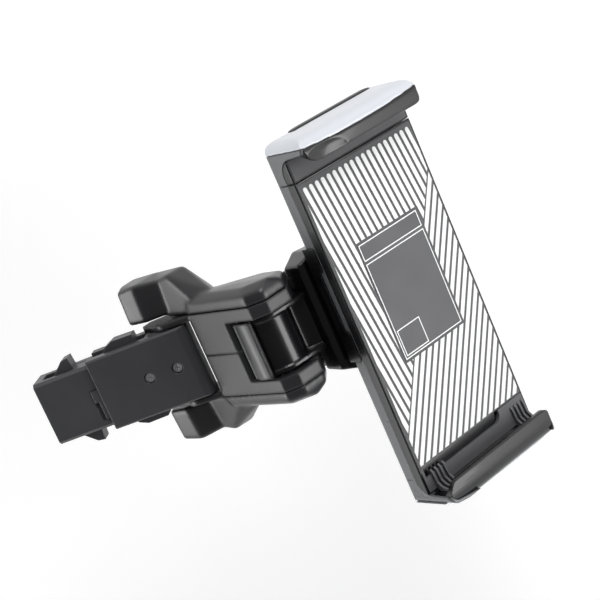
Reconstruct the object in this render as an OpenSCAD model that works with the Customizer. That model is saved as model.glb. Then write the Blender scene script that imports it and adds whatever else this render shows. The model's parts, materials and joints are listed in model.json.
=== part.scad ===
// Headrest tablet mount. A latching plug carries a winged arm. The arm holds a
// tilting knuckle and a turning tray, and the tray's two hooked jaws grip a tablet.
// +X runs along the hinge pins, +Y from the plug towards the tray, +Z up.
// The origin is the centre of the plug's pivot.

/* [Plug] */
// Width of the plug sleeve
plug_w = 25.8; // [24:0.2:28]
// Thickness of the plug sleeve
plug_t = 13; // [12:0.5:15]
// Length of the sleeve from the pivot to the tip
sleeve_len = 30.7; // [29:0.1:36]
// Length of the tip beyond the sleeve
tip_len = 21.2; // [19:0.1:26]
// How far the tip is narrower than the sleeve on each side
tip_inset = 1.4; // [0.8:0.1:1.8]
// How far the tip's top face lies below the sleeve's
tip_drop = 1; // [0.5:0.1:2]
// Place of the first screw behind the pivot
screw_1_y = 12.1; // [11:0.1:14]
// Place of the second screw behind the pivot
screw_2_y = 1.8; // [1:0.1:3]
// Radius of the screw heads
screw_head_r = 1.65; // [1.3:0.05:2]
// Radius of the screw shanks
screw_r = 0.8; // [0.6:0.05:1]
// Thickness of the latch levers
lever_t = 5; // [4:0.2:6]
// How far the latch teeth and pads stand out of the plug
latch_reach = 2.9; // [2:0.1:3]
// Radius of the latch pins
latch_pin_r = 1; // [0.8:0.05:1.2]
// Radius of the stub pins that the plug turns on
trunnion_r = 2.5; // [2:0.1:3]

/* [Arm] */
// Half width of the two arm halves together
half_w = 15.2; // [14.8:0.1:16]
// Width that each side cover adds
cover_w = 5.9; // [5:0.1:7]
// Rise of the neck in degrees
neck_rise = 38; // [34:1:41]
// Distance of the tilt pin from the pivot along Y
hinge_y = 34.5; // [33:0.5:38]
// Height of the tilt pin above the pivot
hinge_z = 13.5; // [12:0.5:15]
// Radius across the corners of the eight-sided ears
ear_r = 12.4; // [12:0.1:12.6]
// Reach of each wing from the middle
wing_reach = 29.5; // [27:0.5:32]
// Depth of the wings below the pivot
wing_drop = 16; // [14:0.5:18]
// Space between the neck and the round end of the plug
slit = 2.2; // [1.8:0.1:2.6]

/* [Knuckle] */
// Radius of the knuckle's flanges
drum_r = 8.7; // [8.2:0.1:8.9]
// Half width of the knuckle between the ears
drum_w = 10; // [9.5:0.1:10.5]
// Width of each flange band
flange_w = 1.6; // [1:0.1:2.4]
// How far the drum's middle lies below its flanges
flange_h = 0.6; // [0.4:0.1:1]
// Radius of the tilt pin
tilt_pin_r = 3; // [2:0.1:3.5]
// Tilt of the tray below level in degrees
tray_tilt = 48; // [44:1:52]
// Distance from the tilt pin to the swivel axis, along the tray
pin_to_swivel = 42; // [41:0.5:46]
// Height of the bed over the tilt pin, square to the tray
pin_to_bed = 24; // [24:0.5:27]
// Radius of the swivel plate behind the tray
swivel_r = 22; // [20:0.5:24]
// Radius of the swivel bolt
bolt_r = 4; // [3:0.1:5]

/* [Tray] */
// Length of bed between the upper jaw and the seam
upper_bed = 8.75; // [8.5:0.05:10]
// Length of bed between the mat and the lower jaw
lower_bed = 10.25; // [10:0.05:14]
// Distance from the upper seam to the swivel axis
seam_to_swivel = 45.3; // [44:0.1:48]
// Width of the tray
tray_w = 54; // [52:0.5:60]
// Depth of the tray from the bed to its back
tray_t = 10.2; // [10:0.1:12]
// Depth of the gloss frame's side
frame_t = 3.7; // [3.2:0.1:4]
// Wall thickness of the rear shell
shell_wall = 1.5; // [1.2:0.1:1.8]
// Width of the frame's rim beside the mat
rim = 0.8; // [0.6:0.1:1.2]
// Thickness of the grip mat
mat_t = 1.4; // [1:0.1:1.6]
// Radius of the tray's corners
corner_r = 5; // [4:0.5:6]

/* [Stripes] */
// Distance from one stripe to the next
stripe_pitch = 2.65; // [2.4:0.05:3.2]
// Width of a stripe
stripe_w = 1.6; // [1.2:0.05:1.9]
// Height of the stripes above the mat
stripe_t = 0.2; // [0.1:0.05:0.3]
// Turn of the upper stripes in degrees
upper_turn = 7; // [4:1:10]
// Turn of the lower stripes in degrees
lower_turn = -35; // [-40:1:-30]
// Length of the label field
label_len = 42; // [38:1:46]
// Width of the label field
label_w = 28.4; // [24:0.2:32]

/* [Jaws] */
// Gap between the closed jaws that holds the tablet
grip_gap = 122; // [120:0.5:132]
// Height of the jaw lips above the bed
lip_h = 9.9; // [9.5:0.1:12]
// How far a lip reaches over the tablet
lip_reach = 4.2; // [3.5:0.1:4.6]
// Thickness of a lip
lip_t = 2; // [1.6:0.1:2.2]
// Distance between the grip ribs
rib_pitch = 1.9; // [1.6:0.1:2.1]
// Number of grip ribs in a group
rib_count = 4; // [3:1:4]

/* [Hidden] */
$fn = 48;

// Clearances: running fit on a pin, sliding faces, seams between shells
fit = 0.05;
slide = 0.3;
seam = 0.15;
eps = 0.01;

plug_hw = plug_w / 2;
plug_ht = plug_t / 2;
tip_hw = plug_hw - tip_inset;
tip_ht = plug_ht - tip_drop;
lever_in = plug_hw - 3.6;
lever_out = tip_hw - 0.1;
tooth_x = plug_hw + latch_reach;
latch_pin_x = plug_hw - 2.7;
latch_pin_y = -9.2;
lever_eye_r = latch_pin_r + 1.1;
lever_slot_in = lever_in - 4.2;
tip_y = -sleeve_len - tip_len;
tooth_y = -sleeve_len - 6.6;
spring_y = -sleeve_len + 6.7;
pad_y = -13;
cheek_in = plug_hw + 0.4;
cheek_r = plug_ht - 1.5;
end_r = 3.5;
neck_y = plug_ht + slit;
cover_in = half_w + seam;
cover_out = half_w + cover_w;
window_hw = drum_w + 0.8;
ear_in = drum_w + slide;
cavity_r = drum_r + 1.6;
shield_in = drum_r + slide;
shield_out = cavity_r - fit;
swivel_top = -tray_t - 0.5;
base_y = ear_r + 0.5;
seam_x = -seam_to_swivel;
mat_len = grip_gap - upper_bed - lower_bed;
mat_end = seam_x + mat_len;
tray_hw = tray_w / 2;
bay_low = mat_end + lower_bed;
bay_high = seam_x - upper_bed;
upper_out = 5.25;
lower_out = 6;
crown_d = 3.4;
side_r = 3;
band_t = 0.9;
band_top = 5;
bow_r = 260;
bow_at = 0.35;
ear_t = rim;
shell_top = -frame_t;
floor_h = -tray_t + shell_wall;
deck_h = -mat_t;
deck_t = 1;
tongue_w = tray_w - 12;
tongue_t = 2;
tongue_top = deck_h - deck_t - slide;
// The jaw slides out 70 mm of the tongue's 92
tongue_len = grip_gap - 30;
back_r = 3;
post_x = bay_low - 8;
cradle_from = seam_x + 21.7;
cradle_to = seam_x + 62.4;
cradle_len = cradle_to - cradle_from;
seam_out = bay_high - seam_x + seam;
inlay_y = -23;
inlay_len = 38;
inlay_h = 4.4;
label_x = seam_x + 27.5;
label_y = -tray_hw + 13;
label_t = stripe_t * 0.7;

// Places a child in the tilted frame of the knuckle, with its origin on the tilt pin
module at_hinge() {
    translate([0, hinge_y, hinge_z]) rotate([-tray_tilt, 0, 0]) children();
}

// Places a child in the tray's frame: X along the tray, Y across it, Z out of the bed
module at_tray() {
    at_hinge() translate([0, pin_to_swivel, pin_to_bed]) children();
}

// Extrudes a side view drawn in Y and Z from x0 to x1
module side_slab(x0, x1) {
    translate([x0, 0, 0]) rotate([90, 0, 90]) linear_extrude(x1 - x0) children();
}

// A cylinder along X
module x_rod(r, x0, x1) {
    translate([x0, 0, 0]) rotate([0, 90, 0]) cylinder(r = r, h = x1 - x0);
}

// A rectangle with round corners, from corner to corner
module round_rect(x0, y0, x1, y1, r) {
    union() {
        translate([x0 + r, y0]) square([x1 - x0 - 2 * r, y1 - y0]);
        translate([x0, y0 + r]) square([x1 - x0, y1 - y0 - 2 * r]);
        for (x = [x0 + r, x1 - r], y = [y0 + r, y1 - r]) translate([x, y]) circle(r);
    }
}

// Points of one ring of a coil's wire at angle a
function wire_ring(coil_r, wire_r, z, a) = [
    for (k = [0 : 5]) let(t = 60 * k)
        [(coil_r + wire_r * cos(t)) * cos(a), (coil_r + wire_r * cos(t)) * sin(a), z + wire_r * sin(t)]
];

// A coil spring along Z from 0 to len
module coil(coil_r, wire_r, len, turns) {
    steps = turns * 10;
    rings = [
        for (i = [0 : steps])
            wire_ring(coil_r, wire_r, wire_r + (len - 2 * wire_r) * i / steps, 36 * i)
    ];
    points = [for (ring = rings) each ring];
    last = 6 * steps;
    walls = [
        for (i = [0 : steps - 1], k = [0 : 5])
            [6 * i + k, 6 * i + (k + 1) % 6, 6 * i + 6 + (k + 1) % 6, 6 * i + 6 + k]
    ];
    ends = [[5, 4, 3, 2, 1, 0], [for (k = [0 : 5]) last + k]];
    polyhedron(points, concat(walls, ends), convexity = 10);
}

// The side slots of the plug in which the latch levers swing
module lever_slots() {
    for (side = [-1, 1]) {
        slot_h = lever_t + 2 * slide;
        x0 = side > 0 ? lever_slot_in : -plug_hw - eps;
        translate([x0, tip_y + 3, -slot_h / 2])
            cube([plug_hw + eps - lever_slot_in, -tip_y - 3 + latch_pin_y, slot_h]);
        translate([side * latch_pin_x, latch_pin_y, -slot_h / 2])
            cylinder(r = lever_eye_r + slide, h = slot_h);
    }
}

module plug_tip() {
    color([0.2, 0.2, 0.21]) difference() {
        union() {
            translate([-tip_hw, tip_y, -tip_ht]) cube([2 * tip_hw, tip_len, 2 * tip_ht]);
            // Tenon that the two sleeve shells clamp
            translate([-4.5, -sleeve_len - eps, -3]) cube([9, 4, 6]);
        }
        lever_slots();
        // Long edge chamfers on the top face
        for (side = [-1, 1])
            translate([side * tip_hw, 0, tip_ht]) rotate([0, 45, 0])
                cube([1.6, 200, 1.6], center = true);
        // Step for the key tab at the sleeve
        translate([-2.6, -sleeve_len - 3.2, tip_ht - 0.5]) cube([11.4, 3.3, 1]);
    }
}

// The sleeve's whole outside: a flat block whose end at the pivot is half round below
// and has a smaller round edge above
module sleeve_body() {
    union() {
        translate([-plug_hw, -sleeve_len, -plug_ht]) cube([plug_w, sleeve_len, plug_t]);
        side_slab(-plug_hw, plug_hw) union() {
            circle(plug_ht);
            intersection() {
                round_rect(-plug_ht, -plug_ht, plug_ht, plug_ht, end_r);
                translate([-plug_ht, 0]) square(plug_t);
            }
        }
    }
}

module sleeve_hollow() {
    lever_slots();
    // Socket of the tip's tenon
    translate([-4.5 - fit, -sleeve_len - 1, -3 - fit]) cube([9 + 2 * fit, 5 + fit, 6 + 2 * fit]);
    // Tunnel of the latch spring
    translate([-lever_slot_in - 1, spring_y, 0]) rotate([0, 90, 0])
        cylinder(r = 2.3, h = 2 * lever_slot_in + 2);
    // Seats of the trunnion pins and the latch pins
    x_rod(trunnion_r + eps, plug_hw - 4, plug_hw + 1);
    x_rod(trunnion_r + eps, -plug_hw - 1, -plug_hw + 4);
    for (side = [-1, 1])
        translate([side * latch_pin_x, latch_pin_y, -plug_ht + 1.5])
            cylinder(r = latch_pin_r + eps, h = plug_t - 3);
    // Screw holes with sunk heads
    for (y = [-screw_1_y, -screw_2_y]) translate([0, y, 0]) {
        translate([0, 0, -plug_ht + 1.2]) cylinder(r = screw_r + eps, h = plug_t);
        translate([0, 0, plug_ht - 1.5]) cylinder(r = screw_head_r + 0.3, h = 2);
    }
}

module sleeve_base() {
    color([0.2, 0.2, 0.21]) difference() {
        intersection() {
            sleeve_body();
            translate([-50, -100, -50]) cube([100, 200, 50]);
        }
        sleeve_hollow();
    }
}

module sleeve_cover() {
    color([0.21, 0.21, 0.22]) difference() {
        intersection() {
            union() {
                sleeve_body();
                // Key tab over the tip
                translate([-2.5, -sleeve_len - 3, tip_ht - 0.5])
                    cube([4.4, 3.1, tip_drop * 0.5 + 0.5]);
                translate([-2.5, -sleeve_len - 1.6, tip_ht - 0.5])
                    cube([11, 1.7, tip_drop * 0.5 + 0.5]);
            }
            translate([-50, -100, eps]) cube([100, 200, 50]);
        }
        sleeve_hollow();
        // Chamfered long edges
        for (side = [-1, 1])
            translate([side * plug_hw, 0, plug_ht]) rotate([0, 45, 0])
                cube([0.9, 200, 0.9], center = true);
    }
}

module sleeve_screws() {
    color([0.3, 0.3, 0.31]) for (y = [-screw_1_y, -screw_2_y]) translate([0, y, 0]) {
        difference() {
            union() {
                translate([0, 0, plug_ht - 1.5 + eps]) cylinder(r = screw_head_r, h = 0.9);
                translate([0, 0, -plug_ht + 1.3]) cylinder(r = screw_r, h = plug_t - 2.5);
            }
            // Cross recess
            for (turn = [0, 90]) translate([0, 0, plug_ht - 0.6]) rotate([0, 0, turn])
                cube([2 * screw_head_r * 0.62, 0.45, 0.9], center = true);
        }
    }
}

// One latch lever on the +X side: eye at the back, pad, bar and hook tooth
module latch_lever() {
    bar_y = latch_pin_y - latch_pin_r - 0.2;
    difference() {
        translate([0, 0, -lever_t / 2]) union() {
            linear_extrude(lever_t) polygon([
                [lever_in, bar_y], [lever_out, bar_y], [lever_out, pad_y + 0.1],
                [tooth_x - 0.3, pad_y], [tooth_x - 0.1, pad_y - 7.5], [tooth_x - 1.4, pad_y - 10.5],
                [lever_out + 0.7, pad_y - 12.5], [lever_out, pad_y - 16], [lever_out, tooth_y + 0.4],
                [tooth_x, tooth_y], [tooth_x - 0.4, tooth_y - 2.6], [lever_out, tooth_y - 7.1],
                [lever_in, tooth_y - 7.1]
            ]);
            translate([latch_pin_x, latch_pin_y, 0]) cylinder(r = lever_eye_r, h = lever_t);
        }
        translate([latch_pin_x, latch_pin_y, -lever_t]) cylinder(r = latch_pin_r + fit, h = 2 * lever_t);
        // Seat of the latch spring
        translate([lever_in - eps, spring_y, 0]) rotate([0, 90, 0]) cylinder(r = 2, h = 0.8);
    }
}

module latch_lever_left() { color([0.17, 0.17, 0.18]) mirror([1, 0, 0]) latch_lever(); }
module latch_lever_right() { color([0.17, 0.17, 0.18]) latch_lever(); }

module latch_pins() {
    color("silver") for (side = [-1, 1])
        translate([side * latch_pin_x, latch_pin_y, -plug_ht + 1.6])
            cylinder(r = latch_pin_r, h = plug_t - 3.2);
}

module latch_spring() {
    reach = lever_in + 0.6;
    color("silver") translate([-reach, spring_y, 0]) rotate([0, 90, 0]) coil(1.4, 0.25, 2 * reach, 12);
}

module trunnion_pins() {
    color("silver") for (side = [-1, 1])
        x_rod(trunnion_r, side > 0 ? plug_hw - 3.9 : -half_w + 0.7,
            side > 0 ? half_w - 0.7 : -plug_hw + 3.9);
}

// Height of the neck's straight top line at a distance y from the pivot
function neck_top(y) = hinge_z + ear_r * 0.93 + (y - hinge_y + 0.6) * tan(neck_rise);

// Side view of the neck and the ear
module neck_side() {
    y_top = hinge_y - 0.6;
    polygon([
        [neck_y, neck_top(neck_y)], [y_top, neck_top(y_top)],
        [hinge_y + ear_r * cos(62), hinge_z + ear_r * sin(62)],
        [hinge_y + ear_r * cos(17), hinge_z + ear_r * sin(17)],
        [hinge_y + ear_r * cos(-28), hinge_z + ear_r * sin(-28)],
        [hinge_y + ear_r * cos(-73), hinge_z + ear_r * sin(-73)],
        [neck_y, -plug_ht - 2.5]
    ]);
}

// The arm's right half: neck, ear and the cheek that the plug turns in
module arm_half() {
    difference() {
        union() {
            side_slab(seam / 2, half_w) neck_side();
            side_slab(cheek_in, half_w) union() {
                circle(cheek_r);
                polygon([
                    [-10, -3.2], [-8, -6.5], [neck_y + eps, -plug_ht - 2.5],
                    [neck_y + eps, neck_top(neck_y)], [0, cheek_r], [-9.5, -1.5]
                ]);
            }
            // Bead in front of the drum shield
            translate([0, hinge_y - shield_out - 1.1, hinge_z + 1.2]) x_rod(0.8, seam / 2, ear_in + 0.2);
        }
        x_rod(trunnion_r + fit, cheek_in - 1, half_w - 0.6);
        // Room for the drum and its window
        translate([0, hinge_y, hinge_z]) {
            x_rod(cavity_r, -1, ear_in);
            translate([-1, -cavity_r, -60]) cube([ear_in + 1, 100, 60]);
            translate([-1, 0, -1]) cube([ear_in + 1, 100, 60]);
            x_rod(tilt_pin_r + fit, 0, half_w + 1);
        }
        translate([-1, hinge_y - shield_out - 3.1, hinge_z + 2.3]) cube([window_hw + 1, 30, 30]);
        // Seats of the arm screws
        for (p = [[12, -2.5], [18.5, 3]]) translate([0, p[0], p[1]]) {
            x_rod(1.1 + eps, 0, half_w + 1);
            x_rod(2.3, half_w - 2.2, half_w + 1);
        }
    }
}

module arm_half_left() { color([0.3, 0.3, 0.31]) mirror([1, 0, 0]) arm_half(); }
module arm_half_right() { color([0.3, 0.3, 0.31]) arm_half(); }

module arm_screws() {
    color("silver") for (p = [[12, -2.5], [18.5, 3]]) translate([0, p[0], p[1]]) union() {
        x_rod(1.1, -half_w + 2, half_w - 1.9);
        x_rod(2, half_w - 2, half_w - 0.4);
    }
}

// A small ball at a corner of a moulded wing, so that its edges come out round
module knob(p) {
    translate(p) sphere(0.8, $fn = 16);
}

// Side view of the cover's shoulder: the ear, and a shallow band along the neck's top
module shoulder_side(inset, depth) {
    r = ear_r - inset;
    y_low = neck_y + 1.5;
    y_top = hinge_y - 0.6;
    polygon(concat(
        [[y_low, neck_top(y_low) - depth], [y_low, neck_top(y_low) - inset], [y_top, neck_top(y_top) - inset]],
        [for (a = [62, 17, -28, -73]) [hinge_y + r * cos(a), hinge_z + r * sin(a)]]
    ));
}

// The neck and ear part of a side cover: flat top, bevel, and a crease along its side
module cover_neck() {
    hull() {
        side_slab(cover_in, cover_in + 0.8) neck_side();
        side_slab(cover_out - 3, cover_out - 2.9) shoulder_side(0.2, 7);
        side_slab(cover_out - 1.9, cover_out - 1.8) shoulder_side(0.8, 6);
        side_slab(cover_out - 0.1, cover_out) polygon([
            [11, 1], [20.7, 7.3], [hinge_y - 4, hinge_z + 1], [hinge_y + 7.5, hinge_z + 4.4],
            [hinge_y + 8, hinge_z + 6.2], [hinge_y - 1, hinge_z + 6.8], [11, 2.6]
        ]);
    }
}

// A wing: a shoulder with a bevelled top, and a ramp that runs up to the neck
module wing() {
    x_in = cover_in + 1.8;
    x_out = wing_reach - 0.8;
    hull() {
        for (p = [
            [x_out - 0.9, -14, -7.1], [x_in, -13.8, -5.2], [x_out, -7.5, -3.8], [x_in, -7.5, -1.9],
            [x_out - 1.2, 1.5, -4.2], [x_in, 1, -2.3], [x_out, -13.2, -10.5], [x_in, -13.2, -9],
            [x_out, -9.8, -wing_drop + 0.8], [x_in, -9.8, -wing_drop + 2], [x_out, 0, -12],
            [x_in, 1, -12]
        ]) knob(p);
    }
    hull() {
        for (p = [
            [x_out - 1.2, 1.5, -4.2], [cover_in + 0.8, 1, -2.3], [x_out, 5.8, -1.4],
            [cover_in + 5, 12.6, 5.7], [cover_in + 0.8, 12.6, 6.6], [x_out - 0.3, 11, -5.4],
            [cover_out - 1, 20, 6], [x_out, 0, -11.6], [x_out, 10.5, -6.4],
            [cover_in + 0.8, 1, -12], [cover_out - 1, 18, -2], [cover_in + 0.8, 18, -2]
        ]) knob(p);
    }
}

module side_cover() {
    difference() {
        union() {
            cover_neck();
            wing();
        }
        // Nothing of the cover reaches inside its seam with the arm half
        translate([cover_in - 20, -30, -40]) cube([20, 100, 80]);
    }
}

module side_cover_left() { color([0.33, 0.33, 0.34]) mirror([1, 0, 0]) side_cover(); }
module side_cover_right() { color([0.33, 0.33, 0.34]) side_cover(); }

// Curved cover over the gap between the arm and the drum, with a bead at each edge
module drum_shield() {
    color([0.28, 0.28, 0.29]) translate([0, hinge_y, hinge_z]) union() {
        intersection() {
            difference() {
                x_rod(shield_out, -drum_w, drum_w);
                x_rod(shield_in, -drum_w - 1, drum_w + 1);
            }
            side_slab(-drum_w, drum_w) polygon([
                [0, 0], [30 * cos(105), 30 * sin(105)], [-30, 30], [30 * cos(200), 30 * sin(200)]
            ]);
        }
        for (a = [109, 152]) rotate([a, 0, 0]) translate([0, shield_out - 0.1, 0])
            x_rod(0.45, -drum_w + 0.4, drum_w - 0.4);
    }
}

// Knuckle: a drum with two flanges and a flat neck that runs to the swivel plate
module knuckle() {
    color([0.05, 0.05, 0.055]) at_hinge() difference() {
        union() {
            x_rod(drum_r - flange_h, -drum_w, drum_w);
            for (x = [-drum_w, drum_w - flange_w]) {
                x_rod(drum_r, x, x + flange_w);
                translate([x, 0, -drum_r + 3]) cube([flange_w, base_y, 2 * drum_r - 3]);
            }
            translate([-drum_w, 0, -drum_r + 3]) cube([2 * drum_w, base_y, 2 * drum_r - 3 - flange_h]);
        }
        x_rod(tilt_pin_r + fit, -drum_w - 1, drum_w + 1);
    }
}

module tilt_pin() {
    color("silver") translate([0, hinge_y, hinge_z]) x_rod(tilt_pin_r, -half_w + 0.1, half_w - 0.1);
}

module tilt_washers() {
    color("silver") translate([0, hinge_y, hinge_z]) for (side = [-1, 1])
        difference() {
            x_rod(drum_r - 2, side > 0 ? drum_w + 0.05 : -ear_in + 0.05,
                side > 0 ? ear_in - 0.05 : -drum_w - 0.05);
            x_rod(tilt_pin_r + fit, -half_w, half_w);
        }
}

// Swivel plate: a faceted shoulder beside the ears that widens into a round plate
module swivel_base() {
    color([0.06, 0.06, 0.065]) at_hinge() difference() {
        union() {
            translate([0, pin_to_swivel, pin_to_bed + swivel_top - 5.5]) cylinder(r = swivel_r, h = 5.5);
            hull() {
                for (x = [-1, 1]) {
                    translate([x * 18, base_y + 0.8, 3]) sphere(0.8, $fn = 16);
                    translate([x * 18.4, base_y + 0.8, 10]) sphere(0.8, $fn = 16);
                    translate([x * 20.8, base_y + 7, 1.5]) sphere(0.8, $fn = 16);
                    translate([x * 20.8, base_y + 7, 12.2]) sphere(0.8, $fn = 16);
                    translate([x * 20.8, pin_to_swivel - 6, 8.6]) sphere(0.8, $fn = 16);
                    translate([x * 20.8, pin_to_swivel - 6, 12.2]) sphere(0.8, $fn = 16);
                }
            }
        }
        translate([0, pin_to_swivel, 0]) cylinder(r = bolt_r, h = pin_to_bed - tray_t);
    }
}

module swivel_bolt() {
    color("silver") at_tray() union() {
        translate([0, 0, swivel_top - 5.3]) cylinder(r = bolt_r - eps, h = 5.3 - swivel_top + floor_h + 0.8);
        translate([0, 0, floor_h + 0.6]) cylinder(r = bolt_r + 4, h = 1.2);
    }
}

module swivel_washer() {
    color([0.8, 0.8, 0.8]) at_tray() difference() {
        translate([0, 0, floor_h + 0.05]) cylinder(r = bolt_r + 5, h = 0.5);
        translate([0, 0, floor_h - 1]) cylinder(r = bolt_r + fit, h = 3);
    }
}

// End view of the gloss frame: two rims, the deck, and the room under it
module frame_view() {
    difference() {
        polygon([
            [-tray_hw, shell_top], [-tray_hw, -0.4], [-tray_hw + 0.4, 0],
            [tray_hw - 0.4, 0], [tray_hw, -0.4], [tray_hw, shell_top]
        ]);
        translate([-tray_hw + rim, deck_h]) square([tray_w - 2 * rim, 10]);
        translate([-tray_hw + 3, shell_top - 1]) square([tray_w - 6, deck_h - deck_t - shell_top + 1]);
    }
}

// End view of the grey tub, with its two long back edges rounded, drawn in by inset
module tub_view(inset) {
    intersection() {
        round_rect(-tray_hw + inset, -tray_t + inset, tray_hw - inset, 10, back_r);
        translate([-tray_hw, -tray_t]) square([tray_w, tray_t + shell_top - fit - inset]);
    }
}

// Places a child in the lower jaw's frame, with X outward from the tablet's edge
module at_lower() {
    at_tray() translate([bay_low, 0, 0]) children();
}

// Places a child in the upper jaw's frame, turned half round
module at_upper() {
    at_tray() translate([bay_high, 0, 0]) rotate([0, 0, 180]) children();
}

// Extrudes a side view drawn as distance out and height across the tray
module across(y0, y1) {
    translate([0, y1, 0]) rotate([90, 0, 0]) linear_extrude(y1 - y0) children();
}

// Rounded outside line, at angle t, of the end of a jaw that reaches out
function end_line(t, out) = [
    (out + 6) * pow(cos(t), 0.4) - 6,
    (lip_h + 4) * sign(t) * pow(abs(sin(t)), 0.4) - 4
];

// Crowned left half of a jaw's plan at angle u: the end falls back by depth towards the
// side, and rounds off into it
function crown_line(u, out, depth, hw) =
    let(y = hw * sin(u), turn = max(0, (y - hw + side_r) / side_r))
    [out - depth * pow(sin(u), 1.6) - side_r * (1 - sqrt(1 - turn * turn)), -y];

// Plan of a jaw that reaches out, drawn in by inset. A depth gives it a crowned left corner.
module jaw_plan(out, depth, inset) {
    hw = tray_hw - inset;
    intersection() {
        round_rect(-30, -hw, out - inset, hw, corner_r - inset);
        union() {
            translate([-30, 0]) square([60, tray_hw]);
            if (depth > 0) {
                polygon(concat(
                    [[-30, 0.01], [-30, -hw]],
                    [for (u = [90 : -3 : 0]) crown_line(u, out - inset, depth, hw)],
                    [[out - inset, 0.01]]
                ));
            } else {
                translate([-30, -tray_hw]) square([60, tray_hw + 0.01]);
            }
        }
    }
}

// Keeps a jaw's piece inside its rounded plan and its rounded end view
module in_jaw(out, depth) {
    intersection() {
        children();
        translate([0, 0, -20]) linear_extrude(40) jaw_plan(out, depth, 0);
        side_slab(-30, out) union() {
            round_rect(-tray_hw, -tray_t, tray_hw, 3, back_r);
            round_rect(-tray_hw, -3, tray_hw, lip_h, 2);
        }
    }
}

// The bowed space that the upper jaw's silver trim takes up, larger by grow
module trim_space(grow) {
    translate([bow_at + bow_r, 0, -20]) cylinder(r = bow_r + grow, h = 40, $fn = 360);
}

// Height of that line at x
function end_height(x, out) = (lip_h + 4) * pow(1 - pow(max(x + 6, 0) / (out + 6), 5), 0.2) - 4;

// Side view of a jaw's end: straight at x0, its outside rounded
module end_view(x0, out) {
    polygon(concat(
        [[x0, -tray_t], [x0, end_height(x0, out)]],
        [for (t = [86 : -4 : -2]) if (end_line(t, out)[0] > x0 + 0.1) end_line(t, out)],
        [for (a = [0 : -15 : -90]) [out - 2 + 2 * cos(a), 2 - tray_t + 2 * sin(a)]]
    ));
}

// Side view of the hook: upright, lip, and a round throat for the tablet's edge
module hook_view(out) {
    throat = 2.4;
    polygon(concat(
        [[-lip_reach, lip_h - lip_t], [-lip_reach, lip_h - 0.6], [-lip_reach + 0.6, lip_h]],
        [for (t = [86 : -4 : 2]) end_line(t, out)],
        [[out, shell_top], [-1, shell_top], [-1, -eps], [-1.2, 0]],
        [for (a = [-80 : 20 : 0]) [-throat / 2 + throat / 2 * cos(a), throat / 2 + throat / 2 * sin(a)]],
        [for (a = [0 : 15 : 90]) [throat * (cos(a) - 1), lip_h - lip_t - throat * (1 - sin(a))]]
    ));
}

// What is cut from a lip at one end so that its inner corner is round
module lip_corner(r, side) {
    y = side * (tray_hw - r - 0.4);
    difference() {
        translate([-lip_reach - 1, side > 0 ? y : y - r - 2, 1.5]) cube([lip_reach + 1 - 0.01, r + 2, 20]);
        translate([r - lip_reach, y, 0]) cylinder(r = r, h = 30);
    }
}

// Hooked wall of a jaw; near_side is the side of its wider corner
module jaw_hook(out, depth, near_side) {
    near_r = 7;
    difference() {
        in_jaw(out, depth) across(-tray_hw, tray_hw) hook_view(out);
        // The lip's inner corners are cut round, one wider than the other
        lip_corner(near_r, near_side);
        lip_corner(3.2, -near_side);
    }
}

// Side view of a grey ear: it sweeps up in a hollow curve beside the hook
module ear_view(grow) {
    sweep = 5.6;
    polygon(concat(
        [[seam_out, shell_top - fit + grow]],
        [for (a = [0 : 10 : 90])
            [sweep * sin(a) - 6 - grow, shell_top - fit + 6 + grow - 6 * cos(a)]],
        [[0.2 - grow, lip_h + 1], [4 + grow, lip_h + 1], [4 + grow, shell_top - fit - 1],
            [seam_out, shell_top - fit - 1]]
    ));
}

// The two grey ears, thin walls that follow a jaw's plan round its corners, larger by grow
module jaw_ears(out, depth, grow) {
    difference() {
        across(-tray_hw - 1, tray_hw + 1) ear_view(grow);
        translate([0, 0, -20]) linear_extrude(40) jaw_plan(out, depth, ear_t + grow);
    }
}

// Two groups of grip ribs that run from a jaw's bed up its wall
module jaw_ribs(left_y, right_y, run) {
    for (start = [left_y, right_y], i = [0 : rib_count - 1]) {
        y = start + i * rib_pitch;
        across(y - 0.4, y + 0.4) polygon([
            [-run, 0.01], [-1.15, 0.01], [-0.06, 1.3], [-0.06, 5], [-0.7, 5], [-1.6, 2.6], [-3.2, 1.2],
            [1 - run, 0.8]
        ]);
    }
}

// A field of grip rubber between the rims, from x0 to x1
module bed_pad(x0, x1) {
    translate([x0, -tray_hw + rim + fit, deck_h + eps])
        cube([x1 - x0, tray_w - 2 * rim - 2 * fit, mat_t - 2 * eps]);
}

// Outline of the hub cradle on the tray's side wall: a low bar with a lobe at each end
module cradle_view(grow) {
    union() {
        translate([cradle_from - grow, -tray_t]) square([cradle_len + 2 * grow, 4.2 + grow]);
        translate([cradle_from - grow, -tray_t]) square([8.7 + 2 * grow, 5 + grow]);
        translate([cradle_to - 11 - grow, -tray_t]) square([11 + 2 * grow, 5 + grow]);
        round_rect(cradle_from - grow, -tray_t + 2, cradle_from + 8.7 + grow, -tray_t + 5.9 + grow, 1.2);
        round_rect(cradle_to - 11 - grow, -tray_t + 2, cradle_to + grow, -tray_t + 5.9 + grow, 1.2);
    }
}

// Black cradle round the swivel, set into the tray's back and one side wall
module hub_cradle() {
    color([0.08, 0.08, 0.085]) at_tray() difference() {
        union() {
            across(-tray_hw - 0.3, -tray_hw + 0.8) cradle_view(0);
            translate([cradle_from, -tray_hw + 0.7, -tray_t]) cube([cradle_len, tray_w - 4, 0.8]);
        }
        translate([0, 0, -tray_t - 1]) cylinder(r = bolt_r + fit, h = 5);
    }
}

// Closed end of a grey tub from x0 outwards, with its two ears
module tub_end(x0, out, depth) {
    in_jaw(out, depth) {
        intersection() {
            across(-tray_hw, tray_hw) end_view(x0, out);
            translate([-30, -tray_hw, -tray_t]) cube([60, tray_w, tray_t + shell_top - fit]);
        }
        jaw_ears(out, depth, 0);
    }
}

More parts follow.
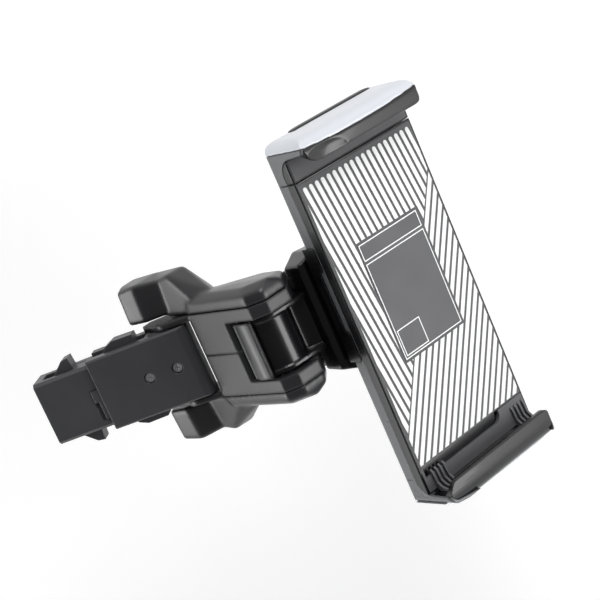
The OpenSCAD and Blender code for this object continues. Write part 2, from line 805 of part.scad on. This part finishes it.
// Grey tub of the tray: floor, walls, the tongue's guides and the spring's post
module rear_shell() {
    guide_y = tongue_w / 2 + slide;
    color([0.42, 0.42, 0.43]) at_tray() difference() {
        union() {
            side_slab(seam_x + seam, bay_low - 6.4) tub_view(0);
            translate([bay_low, 0, 0]) tub_end(-6.2, lower_out, crown_d);
            translate([bay_low, 0, 0]) side_slab(-6.5, -6.1) tub_view(0.3);
        }
        difference() {
            translate([seam_x + shell_wall, -tray_hw + shell_wall, floor_h])
                cube([bay_low - 2 - seam_x - shell_wall, tray_w - 2 * shell_wall, tray_t]);
            for (side = [-1, 1]) {
                // Guides beside the tongue and rails below it
                translate([seam_x, side * (guide_y + 0.75) - 0.75, floor_h - 1]) cube([mat_len, 1.5, 6]);
                translate([seam_x, side * (guide_y - 3) - 1, floor_h - 1])
                    cube([mat_len, 2, tongue_top - tongue_t - slide - floor_h + 1]);
            }
            translate([post_x, -3, floor_h - 1]) cube([3, 6, 5.5]);
        }
        // Mouth for the tongue
        translate([seam_x - 1, -guide_y, tongue_top - tongue_t - slide]) cube([5, 2 * guide_y, 10]);
        // Seats of the hub cradle and the bolt
        across(-tray_hw - 1, -tray_hw + 0.8 + fit) cradle_view(0.1);
        translate([cradle_from - 0.1, -tray_hw + 0.7, -tray_t - 1]) cube([cradle_len + 0.2, tray_w - 3.9, 1.8 + eps]);
        translate([0, 0, -tray_t - 1]) cylinder(r = bolt_r + fit, h = 5);
    }
}

// Gloss frame: rims and deck of the bed, in one piece with the lower jaw's hook
module front_frame() {
    color([0.04, 0.04, 0.045]) at_tray() difference() {
        union() {
            side_slab(seam_x + seam, bay_low - 0.9) frame_view();
            translate([seam_x + seam, -tray_hw + 1, deck_h - 0.5]) cube([0.5, tray_w - 2, mat_t + 0.4]);
            translate([bay_low, 0, 0]) jaw_hook(lower_out, crown_d, -1);
        }
        translate([bay_low, 0, 0]) jaw_ears(lower_out, crown_d, fit);
    }
}

module grip_mat() {
    color([0.36, 0.36, 0.37]) at_tray() bed_pad(seam_x + 0.7, mat_end);
}

// Where the two fields of stripes part on the mat's right edge, and at its left edge
field_x = seam_x + 18;
field_run = (tray_w - 2.9) / tan(-lower_turn);

module stripes_upper() {
    turn_pitch = stripe_pitch / cos(upper_turn);
    first_y = -tray_hw + 2.8;
    drift = floor((field_x + field_run - seam_x) * tan(upper_turn) / turn_pitch);
    color("white") at_tray() linear_extrude(stripe_t) difference() {
        intersection() {
            polygon([
                [seam_x + 1.6, -tray_hw + 1.5], [seam_x + 1.6, tray_hw - 1.4], [field_x, tray_hw - 1.4],
                [field_x + field_run, -tray_hw + 1.5]
            ]);
            for (y = [first_y - drift * turn_pitch : turn_pitch : tray_hw - 1.4 - stripe_w / 2])
                translate([seam_x + 3, y]) rotate([0, 0, upper_turn]) union() {
                    translate([0, -stripe_w / 2]) square([mat_len + 10, stripe_w]);
                    circle(stripe_w / 2, $fn = 16);
                }
        }
        label_plan(0.7);
    }
}

module stripes_lower() {
    color("white") at_tray() linear_extrude(stripe_t) difference() {
        intersection() {
            polygon([
                [field_x + 1.2, tray_hw - 1.4], [mat_end - 0.6, tray_hw - 1.4],
                [mat_end - 0.6, -tray_hw + 1.5], [field_x + 1.2 + field_run, -tray_hw + 1.5]
            ]);
            for (x = [field_x + 1.2 : stripe_pitch / sin(-lower_turn) : mat_end - 1.6])
                translate([x, tray_hw - 1.4]) rotate([0, 0, lower_turn])
                    translate([-5, 0]) square([mat_len + 20, stripe_w]);
        }
        label_plan(0.7);
    }
}

// Plan of the label field
module label_plan(grow) {
    translate([label_x - grow, label_y - grow]) square([label_len + 2 * grow, label_w + 2 * grow]);
}

module label_field() {
    color([0.34, 0.34, 0.35]) at_tray() linear_extrude(label_t) label_plan(0);
}

// The outline of a rectangle in thin lines
module line_frame(x0, y0, x1, y1) {
    difference() {
        translate([x0, y0]) square([x1 - x0, y1 - y0]);
        translate([x0 + 0.35, y0 + 0.35]) square([x1 - x0 - 0.7, y1 - y0 - 0.7]);
    }
}

// Plain white outlines on the label field: a header bar, a frame and a corner box
module label_lines() {
    header = label_len / 7;
    color("white") at_tray() translate([label_x, label_y, label_t + eps]) linear_extrude(0.05) {
        line_frame(0.3, 0.3, header, label_w - 0.3);
        line_frame(header + 1, 0.3, label_len - 0.3, label_w - 0.3);
        line_frame(label_len - 10.5, 1.2, label_len - 1.2, 12);
    }
}

// Bed panel of the lower jaw, with the round-ended slot beside the mat
module lower_jaw_pad() {
    slot_len = tray_w - 18;
    color([0.36, 0.36, 0.37]) at_tray() difference() {
        bed_pad(mat_end + 0.3, bay_low - 1 - fit);
        translate([mat_end - 1, -tray_hw + 1.8, deck_h - 1]) cube([5.2, slot_len, 4]);
        translate([mat_end + 1.2, -tray_hw + 1.8 + slot_len, deck_h - 1]) cylinder(r = 3, h = 4);
    }
}

module lower_jaw_ribs() { color([0.12, 0.12, 0.12]) at_lower() jaw_ribs(-tray_hw + 4.6, tray_hw - 7.6, 8); }

// Silver band round the lower jaw's end, below its rounded top
module lower_jaw_trim() {
    reach = lower_out + band_t;
    color([0.85, 0.86, 0.88]) at_lower() difference() {
        in_jaw(reach, crown_d) intersection() {
            across(-tray_hw, tray_hw) end_view(3, reach);
            translate([3, -tray_hw, -20]) cube([20, tray_w, 20 + band_top]);
        }
        translate([0, 0, -20]) linear_extrude(40) jaw_plan(lower_out + fit, crown_d, 0);
    }
}

// Gloss hook of the sliding jaw, with its short length of bed
module upper_jaw() {
    color([0.04, 0.04, 0.045]) at_upper() difference() {
        union() {
            side_slab(seam_out, -0.9) frame_view();
            translate([seam_out, -tray_hw + 1, deck_h - 0.5]) cube([0.5, tray_w - 2, mat_t + 0.4]);
            jaw_hook(upper_out, 0, 1);
        }
        jaw_ears(upper_out, 0, fit);
        trim_space(fit);
    }
}

// Grey tub of the sliding jaw
module upper_jaw_shell() {
    color([0.42, 0.42, 0.43]) at_upper() difference() {
        tub_end(seam_out, upper_out, 0);
        trim_space(fit);
        translate([seam_out + shell_wall, -tray_hw + shell_wall, floor_h])
            cube([-2 - seam_out - shell_wall, tray_w - 2 * shell_wall, tray_t]);
        translate([seam_out - 1, -tongue_w / 2 - fit, tongue_top - tongue_t - fit])
            cube([5, tongue_w + 2 * fit, 10]);
    }
}

module upper_jaw_pad() { color([0.36, 0.36, 0.37]) at_upper() bed_pad(seam_out + 0.55, -1 - fit); }
module upper_jaw_ribs() { color([0.12, 0.12, 0.12]) at_upper() jaw_ribs(-tray_hw + 3.4, tray_hw - 16, 4.2); }

// Bowed silver end piece of the sliding jaw
module upper_jaw_trim() {
    color([0.85, 0.86, 0.88]) at_upper() difference() {
        intersection() {
            in_jaw(upper_out, 0) across(-tray_hw, tray_hw) end_view(-2, upper_out);
            trim_space(0);
        }
        translate([upper_out - 1.5, inlay_y, -tray_t - 1]) cube([5, inlay_len, inlay_h + 1]);
    }
}

// Dark strip in the silver trim's back edge
module upper_jaw_inlay() {
    color([0.1, 0.1, 0.1]) at_upper() across(inlay_y + fit, inlay_y + inlay_len - fit) polygon([
        [upper_out - 1.5 + fit, -tray_t], [upper_out - 1.2, -tray_t], [upper_out - 0.1, -tray_t + 1.3],
        [upper_out, inlay_h - tray_t - fit], [upper_out - 1.5 + fit, inlay_h - tray_t - fit]
    ]);
}

// Flat tongue of the sliding jaw, with a root block inside the jaw
module jaw_tongue() {
    block_w = tongue_w - 4;
    color([0.2, 0.2, 0.21]) at_upper() union() {
        translate([-2.3 - tongue_len, -tongue_w / 2, tongue_top - tongue_t]) cube([tongue_len, tongue_w, tongue_t]);
        translate([seam_out + shell_wall + fit, -block_w / 2, floor_h + eps])
            cube([-2.3 - seam_out - shell_wall - fit, block_w, deck_h - deck_t - floor_h - 2 * eps]);
    }
}

// Pull spring between the tongue's end and the post
module jaw_spring() {
    from = bay_high + 2.3 + tongue_len + 0.1;
    color("silver") at_tray() translate([from, 0, tongue_top - tongue_t / 2 - 1]) rotate([0, 90, 0])
        coil(1.8, 0.3, post_x - from - 0.05, 14);
}

plug_tip();
sleeve_base();
sleeve_cover();
sleeve_screws();
latch_lever_left();
latch_lever_right();
latch_pins();
latch_spring();
trunnion_pins();
arm_half_left();
arm_half_right();
side_cover_left();
side_cover_right();
arm_screws();
drum_shield();
knuckle();
tilt_pin();
tilt_washers();
swivel_base();
swivel_bolt();
swivel_washer();
hub_cradle();
rear_shell();
front_frame();
grip_mat();
stripes_upper();
stripes_lower();
label_field();
label_lines();
lower_jaw_pad();
lower_jaw_ribs();
lower_jaw_trim();
upper_jaw();
upper_jaw_shell();
upper_jaw_pad();
upper_jaw_ribs();
upper_jaw_trim();
upper_jaw_inlay();
jaw_tongue();
jaw_spring();
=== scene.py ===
"""Looks of the headrest tablet mount: the finish of each piece, the floor, the light and the camera.
All sizes are in metres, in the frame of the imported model."""

import json

import bpy
import numpy as np
from mathutils import Matrix, Vector

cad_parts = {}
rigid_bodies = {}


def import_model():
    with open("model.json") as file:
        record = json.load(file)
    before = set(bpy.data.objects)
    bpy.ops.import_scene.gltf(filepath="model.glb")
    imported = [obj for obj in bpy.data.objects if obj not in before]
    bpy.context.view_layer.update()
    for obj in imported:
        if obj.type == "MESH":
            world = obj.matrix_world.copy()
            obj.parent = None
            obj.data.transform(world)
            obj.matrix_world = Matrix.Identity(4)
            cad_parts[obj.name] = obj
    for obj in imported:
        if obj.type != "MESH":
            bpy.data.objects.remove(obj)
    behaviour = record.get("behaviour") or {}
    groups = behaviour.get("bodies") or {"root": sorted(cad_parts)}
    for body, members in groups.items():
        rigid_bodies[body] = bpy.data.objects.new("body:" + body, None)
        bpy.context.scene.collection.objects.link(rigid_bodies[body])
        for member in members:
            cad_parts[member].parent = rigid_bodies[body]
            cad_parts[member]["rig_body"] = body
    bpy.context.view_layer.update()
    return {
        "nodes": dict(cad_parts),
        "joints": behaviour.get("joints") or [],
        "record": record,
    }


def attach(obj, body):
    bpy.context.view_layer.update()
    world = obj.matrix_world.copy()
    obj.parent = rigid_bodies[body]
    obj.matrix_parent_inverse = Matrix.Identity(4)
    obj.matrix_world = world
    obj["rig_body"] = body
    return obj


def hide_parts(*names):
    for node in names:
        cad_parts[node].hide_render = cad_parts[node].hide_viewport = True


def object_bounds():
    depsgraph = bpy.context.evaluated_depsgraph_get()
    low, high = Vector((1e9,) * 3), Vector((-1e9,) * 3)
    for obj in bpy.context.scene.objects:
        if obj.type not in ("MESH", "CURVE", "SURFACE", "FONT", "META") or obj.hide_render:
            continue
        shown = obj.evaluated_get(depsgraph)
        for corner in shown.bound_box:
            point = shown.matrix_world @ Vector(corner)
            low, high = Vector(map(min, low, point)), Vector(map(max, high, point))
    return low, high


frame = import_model()

# The tilt pin's place along Y and Z, and how far the tray is tilted down about it.
joints = {joint["name"]: joint for joint in frame["joints"]}
PIN_Y, PIN_Z = joints["tilt"]["pos_m"][1:]
TRAY_TILT = np.radians(48)

# Noise cells to a metre: the patches of shade, about 11 mm across, and the moulding's grain.
PATCHES = 90
GRAIN = 2600


def link(tree, out_node, out_name, in_node, in_name):
    """Joins an output to an input of a node tree. Each is given by its name or its number."""
    tree.links.new(out_node.outputs[out_name], in_node.inputs[in_name])


def noise_on_piece(tree, scale, detail):
    """A noise pattern fixed to the piece by its object coordinates, with scale cells to a metre."""
    place = tree.nodes.new("ShaderNodeTexCoord")
    noise = tree.nodes.new("ShaderNodeTexNoise")
    noise.inputs["Scale"].default_value = scale
    noise.inputs["Detail"].default_value = detail
    link(tree, place, "Object", noise, "Vector")
    return noise


def finish(name, colour, rough, bump=0.12, mottle=0.1, metal=0.0, coat=0.0, specular=0.5, edge=0.00025):
    """A moulded or painted finish: colour and gloss vary over the piece by the share mottle, a fine
    grain dents the surface, and edges catch the light as if rounded by the radius edge."""
    material = bpy.data.materials.new(name)
    material.use_nodes = True
    tree = material.node_tree
    shader = tree.nodes["Principled BSDF"]
    shader.inputs["Metallic"].default_value = metal
    shader.inputs["Coat Weight"].default_value = coat
    shader.inputs["Specular IOR Level"].default_value = specular
    shader.inputs["Coat Roughness"].default_value = 0.05

    patches = noise_on_piece(tree, PATCHES, 3)
    shade = tree.nodes.new("ShaderNodeMapRange")
    shade.inputs["To Min"].default_value = 1 - mottle
    shade.inputs["To Max"].default_value = 1 + mottle
    link(tree, patches, "Fac", shade, "Value")
    tint = tree.nodes.new("ShaderNodeVectorMath")
    tint.operation = "SCALE"
    tint.inputs[0].default_value = colour
    link(tree, shade, "Result", tint, "Scale")
    link(tree, tint, "Vector", shader, "Base Color")

    gloss = tree.nodes.new("ShaderNodeMapRange")
    gloss.inputs["From Min"].default_value = 0.3
    gloss.inputs["From Max"].default_value = 0.7
    gloss.inputs["To Min"].default_value = rough * (1 - mottle)
    gloss.inputs["To Max"].default_value = min(rough * (1 + mottle), 1)
    link(tree, patches, "Fac", gloss, "Value")
    link(tree, gloss, "Result", shader, "Roughness")

    fine = noise_on_piece(tree, GRAIN, 2)
    dents = tree.nodes.new("ShaderNodeBump")
    dents.inputs["Strength"].default_value = bump
    dents.inputs["Distance"].default_value = 0.0001
    link(tree, fine, "Fac", dents, "Height")
    if edge:
        soft_edge = tree.nodes.new("ShaderNodeBevel")
        soft_edge.samples = 6
        soft_edge.inputs["Radius"].default_value = edge
        link(tree, soft_edge, "Normal", dents, "Normal")
    link(tree, dents, "Normal", shader, "Normal")
    return material


FINISHES = {
    "plug_plastic": finish("matt_plug_plastic", (0.048, 0.048, 0.052), 0.42, bump=0.2, edge=0.0005),
    "satin_plastic": finish("satin_cover_plastic", (0.022, 0.022, 0.024), 0.3, bump=0.06, edge=0.0014),
    "gloss_plastic": finish(
        "gloss_black_plastic", (0.005, 0.005, 0.006), 0.25, bump=0.01, coat=0.2, specular=0.4, edge=0.0005
    ),
    "grey_plastic": finish("satin_grey_shell", (0.12, 0.125, 0.13), 0.3, bump=0.06, edge=0.0006),
    "pale_plastic": finish("pale_washer_plastic", (0.7, 0.7, 0.68), 0.5),
    "silver_trim": finish(
        "silver_white_paint", (0.62, 0.64, 0.68), 0.3, bump=0.02, mottle=0.02, metal=0.15, edge=0
    ),
    "grip_rubber": finish("grip_rubber", (0.11, 0.11, 0.115), 0.75, bump=0.3),
    "white_rubber": finish("white_print", (0.93, 0.93, 0.93), 0.6, mottle=0.03, edge=0),
    "label_grey": finish("label_film", (0.085, 0.085, 0.09), 0.55, edge=0),
    "bright_steel": finish("bright_steel", (0.6, 0.6, 0.61), 0.3, metal=1.0),
    "dark_steel": finish("screw_steel", (0.55, 0.55, 0.56), 0.45, metal=1.0),
}

slot_of = {part["node"]: part["material_slot"] for part in frame["record"]["subparts"]}
for node, piece in frame["nodes"].items():
    piece.data.materials.clear()
    piece.data.materials.append(FINISHES[slot_of[node]])


def hinge_to_model(points):
    """Puts points into the model that are given from the tilt pin, Y away from the arm and Z square
    to the tray: a turn by the tray's tilt about X, then a shift to the pin."""
    y = points[..., 1] * np.cos(TRAY_TILT) + points[..., 2] * np.sin(TRAY_TILT) + PIN_Y
    z = points[..., 2] * np.cos(TRAY_TILT) - points[..., 1] * np.sin(TRAY_TILT) + PIN_Z
    return np.stack([points[..., 0], y, z], axis=-1)


def signed_root(value):
    """The root of a value's size, with the value's sign. It squares off a circle's sine or cosine."""
    return np.sign(value) * np.abs(value) ** 0.5


def once_round(count):
    """Evenly spaced angles once round a section."""
    return np.linspace(0, 2 * np.pi, count, endpoint=False)


def along_bar(count, power):
    """Places along a bar from -1 to 1, closer together at its ends, and the section's size there:
    the root of 1 minus the place to the given power, so that the bar's ends close quickly."""
    along = np.sin(np.linspace(-np.pi / 2, np.pi / 2, count)[1:-1, None])
    return along, (1 - np.abs(along) ** power) ** 0.5


def closed_tube(name, rings, poles):
    """A mesh through rows of ring points, closed at both ends by a fan to a pole. All points are
    given from the tilt pin."""
    rings, poles = hinge_to_model(rings), hinge_to_model(np.array(poles))
    rows, around = rings.shape[:2]
    points = np.concatenate([rings.reshape(-1, 3), poles])
    at = np.arange(rows * around).reshape(rows, around)
    ahead = np.roll(at, -1, axis=1)
    sides = np.stack([at[:-1], ahead[:-1], ahead[1:], at[1:]], axis=-1).reshape(-1, 4)
    start = np.stack([ahead[0], at[0], np.full(around, rows * around)], axis=-1)
    end = np.stack([at[-1], ahead[-1], np.full(around, rows * around + 1)], axis=-1)
    mesh = bpy.data.meshes.new(name)
    mesh.from_pydata(points.tolist(), [], sides.tolist() + start.tolist() + end.tolist())
    mesh.polygons.foreach_set("use_smooth", np.ones(len(mesh.polygons), dtype=bool))
    piece = bpy.data.objects.new(name, mesh)
    bpy.context.scene.collection.objects.link(piece)
    return piece


def soft_moulding(node, cell, passes, hollow=None):
    """A copy of a node's shell with its edges rounded: the shell is rebuilt in even cells, and each
    point then moves to the middle of its neighbours a number of times. Where a hollow is given, it
    is cut away first."""
    shell = frame["nodes"][node]
    mesh = shell.data.copy()
    mesh.name = node + "_soft"
    piece = bpy.data.objects.new(node + "_soft", mesh)
    bpy.context.scene.collection.objects.link(piece)
    join = piece.modifiers.new("join", "WELD")
    join.merge_threshold = 0.00001
    if hollow:
        cut = piece.modifiers.new("cut", "BOOLEAN")
        cut.object = hollow
    even = piece.modifiers.new("even", "REMESH")
    even.mode = "VOXEL"
    even.voxel_size = cell
    even.use_smooth_shade = True
    ease = piece.modifiers.new("ease", "SMOOTH")
    ease.factor = 0.5
    ease.iterations = passes
    if hollow:
        shaped = piece.evaluated_get(bpy.context.evaluated_depsgraph_get())
        piece.data = bpy.data.meshes.new_from_object(shaped)
        piece.modifiers.clear()
        bpy.data.objects.remove(hollow)
    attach(piece, shell["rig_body"])
    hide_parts(node)


def neck_valley():
    """What is cut from the neck between its two rails, so that the drum shows: seen from the side,
    the line follows the drum, 8.1 mm from the tilt pin, for 52 degrees past its top, and then a cubic
    Bezier curve sinks into a valley and climbs to the swivel base."""
    drum_radius, valley_end, above_neck = 0.0081, 0.0132, 0.0096
    rails = (-0.0084, 0.0084)
    past = np.radians(np.linspace(0, 52, 27))
    drum = drum_radius * np.stack([np.sin(past), np.cos(past)], axis=-1)
    control = np.array([drum[-1], (0.00774, 0.00326), (0.0107, 0.0055), (valley_end, 0.0074)])
    t = np.linspace(0, 1, 25)[1:, None]
    share = np.hstack([(1 - t) ** 3, 3 * t * (1 - t) ** 2, 3 * t ** 2 * (1 - t), t ** 3])
    line = np.concatenate([drum, share @ control, [(valley_end, above_neck), (0, above_neck)]])
    ends = np.array([np.column_stack([np.full(len(line), x), line]) for x in rails])
    return closed_tube("neck_valley", ends, [(x, 0.008, 0.0086) for x in rails])


def lip_scoop(middle, reach):
    """What is cut from a jaw's lip at the end beside the arm: an ellipsoid round the middle, with a
    half axis of reach along X, Y and Z. With s from pole to pole along Y and t once round, a point is
    the middle plus (reach X cos s sin t, reach Y sin s, reach Z cos s cos t)."""
    s = np.linspace(-np.pi / 2, np.pi / 2, 35)[1:-1, None]
    t = once_round(64)
    x = middle[0] + reach[0] * np.cos(s) * np.sin(t)
    y = np.broadcast_to(middle[1] + reach[1] * np.sin(s), x.shape)
    z = middle[2] + reach[2] * np.cos(s) * np.cos(t)
    poles = [(middle[0], middle[1] + way * reach[1], middle[2]) for way in (-1, 1)]
    return closed_tube("lip_scoop", np.stack([x, y, z], axis=-1), poles)


def base_lip():
    """The lip that hangs from the front edge of the swivel base and closes the view between it and
    the ears. Its section is a rounded bar bent round the tilt pin: with t once round, the distance
    from the pin is 13.7 mm plus 0.7 mm times the signed root of sin t, and the angle below Y is -5.5
    degrees plus 9 degrees times the signed root of cos t. The section runs along X from -17.6 to
    17.6 mm, and along_bar with power 8 scales the 0.7 mm and the 9 degrees, down to nothing at the
    ends."""
    half_length, half_thick, from_pin = 0.0176, 0.0007, 0.0137
    half_turn, turn = np.radians(9), np.radians(-5.5)
    t = once_round(48)
    along, size = along_bar(41, 8)
    reach = from_pin + half_thick * size * signed_root(np.sin(t))
    fall = turn + half_turn * size * signed_root(np.cos(t))
    side = np.broadcast_to(half_length * along, reach.shape)
    rings = np.stack([side, reach * np.cos(fall), -reach * np.sin(fall)], axis=-1)
    poles = [(x, from_pin * np.cos(turn), -from_pin * np.sin(turn)) for x in (-half_length, half_length)]
    piece = closed_tube("swivel_base_lip", rings, poles)
    piece.data.materials.append(FINISHES["gloss_plastic"])
    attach(piece, frame["nodes"]["swivel_base"]["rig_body"])


def inlay_bar():
    """The dark strip in the back edge of the silver end piece: a rounded bar along Y, 1.6 mm thick
    and 3.2 mm high, that stands a little proud. With t once round, it reaches out by its half
    thickness times the signed root of cos t, and up by its half height times the signed root of
    sin t. Along_bar with power 12 scales both, down to nothing at the ends."""
    half_length, half_thick, half_height = 0.0189, 0.0008, 0.0016
    x, y, z = -0.05895, 0.0458, 0.0157
    t = once_round(32)
    along, size = along_bar(81, 12)
    out = x - half_thick * size * signed_root(np.cos(t))
    up = z + half_height * size * signed_root(np.sin(t))
    side = np.broadcast_to(y + half_length * along, out.shape)
    rings = np.stack([out, side, up], axis=-1)
    poles = [(x, y - half_length, z), (x, y + half_length, z)]
    piece = closed_tube("silver_trim_inlay", rings, poles)
    piece.data.materials.append(FINISHES[slot_of["upper_jaw_inlay"]])
    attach(piece, frame["nodes"]["upper_jaw_inlay"]["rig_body"])
    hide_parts("upper_jaw_inlay")


for node in ("side_cover_left", "side_cover_right"):
    soft_moulding(node, cell=0.0005, passes=14)
for node in ("swivel_base", "upper_jaw_trim"):
    soft_moulding(node, cell=0.0004, passes=6)
soft_moulding("knuckle", cell=0.0003, passes=3, hollow=neck_valley())
scoop = lip_scoop(middle=(-0.05085, 0.0245, 0.0387), reach=(0.007, 0.015, 0.006))
soft_moulding("upper_jaw", cell=0.0003, passes=2, hollow=scoop)
base_lip()
inlay_bar()


def floor_and_backdrop(height, glow):
    """A wide pale floor. A glow that only the camera and reflections see brings it up to white,
    and the object's soft shadow stays on it."""
    bpy.ops.mesh.primitive_plane_add(size=8, location=(0, 0, height))
    floor = bpy.context.object
    floor.name = "floor"
    paper = bpy.data.materials.new("white_paper")
    paper.use_nodes = True
    tree = paper.node_tree
    shader = tree.nodes["Principled BSDF"]
    shader.inputs["Base Color"].default_value = (0.8, 0.8, 0.8, 1)
    shader.inputs["Roughness"].default_value = 0.9
    shader.inputs["Emission Color"].default_value = (1, 1, 1, 1)
    ray = tree.nodes.new("ShaderNodeLightPath")
    seen = tree.nodes.new("ShaderNodeMath")
    seen.operation = "MAXIMUM"
    link(tree, ray, "Is Camera Ray", seen, 0)
    link(tree, ray, "Is Glossy Ray", seen, 1)
    lift = tree.nodes.new("ShaderNodeMath")
    lift.operation = "MULTIPLY"
    lift.inputs[1].default_value = glow
    link(tree, seen, "Value", lift, 0)
    link(tree, lift, "Value", shader, "Emission Strength")
    floor.data.materials.append(paper)


def studio_world(horizon, zenith):
    """A light tent: bright round the horizon and dim overhead; the camera sees it as white."""
    world = bpy.data.worlds.new("studio")
    bpy.context.scene.world = world
    world.use_nodes = True
    tree = world.node_tree
    sky = tree.nodes["Background"]
    sky.inputs["Color"].default_value = (1, 1, 1, 1)
    way = tree.nodes.new("ShaderNodeTexCoord")
    parts = tree.nodes.new("ShaderNodeSeparateXYZ")
    link(tree, way, "Generated", parts, "Vector")
    height = tree.nodes.new("ShaderNodeMapRange")
    height.interpolation_type = "SMOOTHSTEP"
    height.inputs["From Min"].default_value = 0.15
    height.inputs["From Max"].default_value = 0.75
    height.inputs["To Min"].default_value = horizon
    height.inputs["To Max"].default_value = zenith
    link(tree, parts, "Z", height, "Value")
    ray = tree.nodes.new("ShaderNodeLightPath")
    level = tree.nodes.new("ShaderNodeMix")
    level.inputs["B"].default_value = 1.0
    link(tree, ray, "Is Camera Ray", level, "Factor")
    link(tree, height, "Result", level, "A")
    link(tree, level, "Result", sky, "Strength")


def soft_box(name, place, aim, width, height, watts):
    """A flat lamp at a place, turned to shine at the point aim."""
    lamp = bpy.data.lights.new(name, "AREA")
    lamp.shape = "RECTANGLE"
    lamp.size = width
    lamp.size_y = height
    lamp.energy = watts
    holder = bpy.data.objects.new(name, lamp)
    bpy.context.scene.collection.objects.link(holder)
    holder.location = place
    holder.rotation_mode = "QUATERNION"
    holder.rotation_quaternion = (Vector(aim) - Vector(place)).to_track_quat("-Z", "Y")


low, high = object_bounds()
middle = (low + high) / 2
# The joints let the tray reach 59 mm below the model's lowest point at rest.
FLOOR_DROP = 0.062
floor_and_backdrop(low.z - FLOOR_DROP, glow=0.4)
studio_world(horizon=1.0, zenith=0.12)
soft_box("tray_light", (0.3, 1.3, 0.38), middle, 0.9, 0.6, 10)
soft_box("front_light", (0.1, -1.2, 0.3), middle, 1.1, 0.4, 8)
soft_box("head_light", (-1.1, 0.6, 0.6), middle, 0.6, 0.6, 9)

# The camera stands where one fitted to the photograph stands: its place, and its own three axes.
EYE = Vector((-0.1329, 0.1661, 0.5128))
RIGHT = (0.39156, 0.91246, -0.11872)
UP = (-0.88965, 0.34247, -0.30205)
BACK = (-0.23495, 0.22389, 0.94587)
lens = bpy.data.cameras.new("camera")
lens.sensor_width = 36
lens.lens = 98.3
camera = bpy.data.objects.new("camera", lens)
bpy.context.scene.collection.objects.link(camera)
camera.matrix_world = Matrix.Translation(EYE) @ Matrix((RIGHT, UP, BACK)).transposed().to_4x4()
bpy.context.scene.camera = camera
bpy.context.scene.view_settings.view_transform = "Standard"
